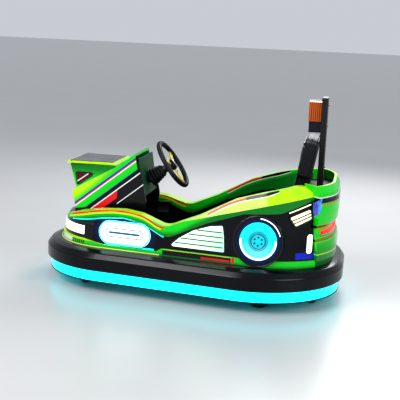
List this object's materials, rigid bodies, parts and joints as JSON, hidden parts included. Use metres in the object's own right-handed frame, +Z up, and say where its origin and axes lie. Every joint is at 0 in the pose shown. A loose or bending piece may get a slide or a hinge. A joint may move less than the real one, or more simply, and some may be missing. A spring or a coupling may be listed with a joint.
{
  "type": "electric bumper kart, racing style",
  "caption": "Two-seat battery bumper kart styled as a racing car: rubber ring bumper, cyan glow skirt, lit side panels, wedge cowl with number display.",
  "frame": {"origin": "on the floor, under the middle of the bumper ring", "axes": "+X forward, +Y to the driver's left, +Z up"},
  "size_m": [1.6999, 1.18, 1.09],
  "materials": {
    "frame_steel": "black powder coat",
    "floor_plate": "dark chequer plate",
    "ring_rubber": "moulded black rubber, scuffed",
    "glow_skirt": "translucent skirt lit cyan from inside",
    "body_green": "vivid green gloss moulding with stripes",
    "insert_black": "glossy near-black moulding",
    "deck_black": "glossy black moulding with fine grain",
    "cheek_black": "black side panel with red patch",
    "box_green": "green housing with a dark top plate",
    "display_red": "lit red number display",
    "lamp_white": "lit white lens",
    "lamp_green": "lit white-green slatted lens",
    "lamp_cyan": "lit cyan disc",
    "lamp_warm": "lit warm white lens",
    "lamp_red": "lit red lens",
    "lamp_orange": "ribbed orange-lit lens",
    "tub_black": "black textured moulding",
    "seat_vinyl": "black vinyl",
    "dash_green": "dark green moulding",
    "column_steel": "black paint",
    "wheel_black": "black grip with yellow spokes",
    "pedal_rubber": "ribbed rubber pad",
    "battery_case": "moulded battery case",
    "fork_steel": "grey paint",
    "tyre_rubber": "solid rubber",
    "hub_metal": "cast hub",
    "caster_steel": "zinc plate",
    "caster_tread": "dark polyurethane"
  },
  "bodies": {
    "chassis": {"chassis_frame": "frame_steel", "floor_pan": "floor_plate", "bumper_ring": "ring_rubber", "glow_skirt": "glow_skirt", "body_band": "body_green", "nose_deck": "deck_black", "side_insert_left": "insert_black", "side_insert_right": "insert_black", "side_coaming_left": "body_green", "side_coaming_right": "body_green", "rear_panel": "body_green", "seat_tub": "tub_black", "cowl": "body_green", "cowl_base": "cheek_black", "display_box": "box_green", "number_display": "display_red", "nose_light_bars": "lamp_white", "stadium_lamps": "lamp_white", "grille_lamps": "lamp_green", "wheel_lamps": "lamp_cyan", "slat_lamps": "lamp_warm", "marker_lamps": "lamp_warm", "tail_lamps": "lamp_red", "seat_cushion": "seat_vinyl", "seat_back": "seat_vinyl", "seat_post": "column_steel", "post_lamp": "lamp_orange", "dash_panel": "dash_green", "steering_column": "column_steel", "pedal": "pedal_rubber", "battery_pack": "battery_case"},
    "steering": {"steering_wheel": "wheel_black"},
    "drive_unit": {"drive_fork": "fork_steel"},
    "drive_wheel": {"drive_tyre": "tyre_rubber", "drive_hub": "hub_metal"},
    "rear_wheel_left": {"rear_tyre_left": "tyre_rubber", "rear_hub_left": "hub_metal"},
    "rear_wheel_right": {"rear_tyre_right": "tyre_rubber", "rear_hub_right": "hub_metal"},
    "caster_swivel_front_left": {"caster_fork_front_left": "caster_steel"},
    "caster_roller_front_left": {"caster_wheel_front_left": "caster_tread"},
    "caster_swivel_front_right": {"caster_fork_front_right": "caster_steel"},
    "caster_roller_front_right": {"caster_wheel_front_right": "caster_tread"},
    "caster_swivel_rear_left": {"caster_fork_rear_left": "caster_steel"},
    "caster_roller_rear_left": {"caster_wheel_rear_left": "caster_tread"},
    "caster_swivel_rear_right": {"caster_fork_rear_right": "caster_steel"},
    "caster_roller_rear_right": {"caster_wheel_rear_right": "caster_tread"}
  },
  "joints": [
    {"name": "steering_turn", "type": "hinge", "parent": "chassis", "child": "steering", "pos_m": [0.145, 0, 0.665], "axis": [-0.8192, 0, 0.5736], "range_deg": [-120, 120]},
    {"name": "drive_turn", "type": "hinge", "parent": "chassis", "child": "drive_unit", "pos_m": [0.56, 0, 0.25], "axis": [0, 0, 1], "range_deg": [-60, 60]},
    {"name": "drive_spin", "type": "hinge", "parent": "drive_unit", "child": "drive_wheel", "pos_m": [0.56, 0, 0.1], "axis": [0, 1, 0], "continuous": true},
    {"name": "rear_spin_left", "type": "hinge", "parent": "chassis", "child": "rear_wheel_left", "pos_m": [-0.43, 0.42, 0.065], "axis": [0, 1, 0], "continuous": true},
    {"name": "rear_spin_right", "type": "hinge", "parent": "chassis", "child": "rear_wheel_right", "pos_m": [-0.43, -0.42, 0.065], "axis": [0, 1, 0], "continuous": true},
    {"name": "caster_swivel_front_left", "type": "hinge", "parent": "chassis", "child": "caster_swivel_front_left", "pos_m": [0.59, 0.25, 0.1], "axis": [0, 0, 1], "continuous": true},
    {"name": "caster_spin_front_left", "type": "hinge", "parent": "caster_swivel_front_left", "child": "caster_roller_front_left", "pos_m": [0.568, 0.25, 0.035], "axis": [0, 1, 0], "continuous": true},
    {"name": "caster_swivel_front_right", "type": "hinge", "parent": "chassis", "child": "caster_swivel_front_right", "pos_m": [0.59, -0.25, 0.1], "axis": [0, 0, 1], "continuous": true},
    {"name": "caster_spin_front_right", "type": "hinge", "parent": "caster_swivel_front_right", "child": "caster_roller_front_right", "pos_m": [0.568, -0.25, 0.035], "axis": [0, 1, 0], "continuous": true},
    {"name": "caster_swivel_rear_left", "type": "hinge", "parent": "chassis", "child": "caster_swivel_rear_left", "pos_m": [-0.67, 0.25, 0.1], "axis": [0, 0, 1], "continuous": true},
    {"name": "caster_spin_rear_left", "type": "hinge", "parent": "caster_swivel_rear_left", "child": "caster_roller_rear_left", "pos_m": [-0.692, 0.25, 0.035], "axis": [0, 1, 0], "continuous": true},
    {"name": "caster_swivel_rear_right", "type": "hinge", "parent": "chassis", "child": "caster_swivel_rear_right", "pos_m": [-0.67, -0.25, 0.1], "axis": [0, 0, 1], "continuous": true},
    {"name": "caster_spin_rear_right", "type": "hinge", "parent": "caster_swivel_rear_right", "child": "caster_roller_rear_right", "pos_m": [-0.692, -0.25, 0.035], "axis": [0, 1, 0], "continuous": true}
  ],
  "couplings": [
    {"joint": "drive_turn", "follows": "steering_turn", "ratio": 0.5}
  ]
}
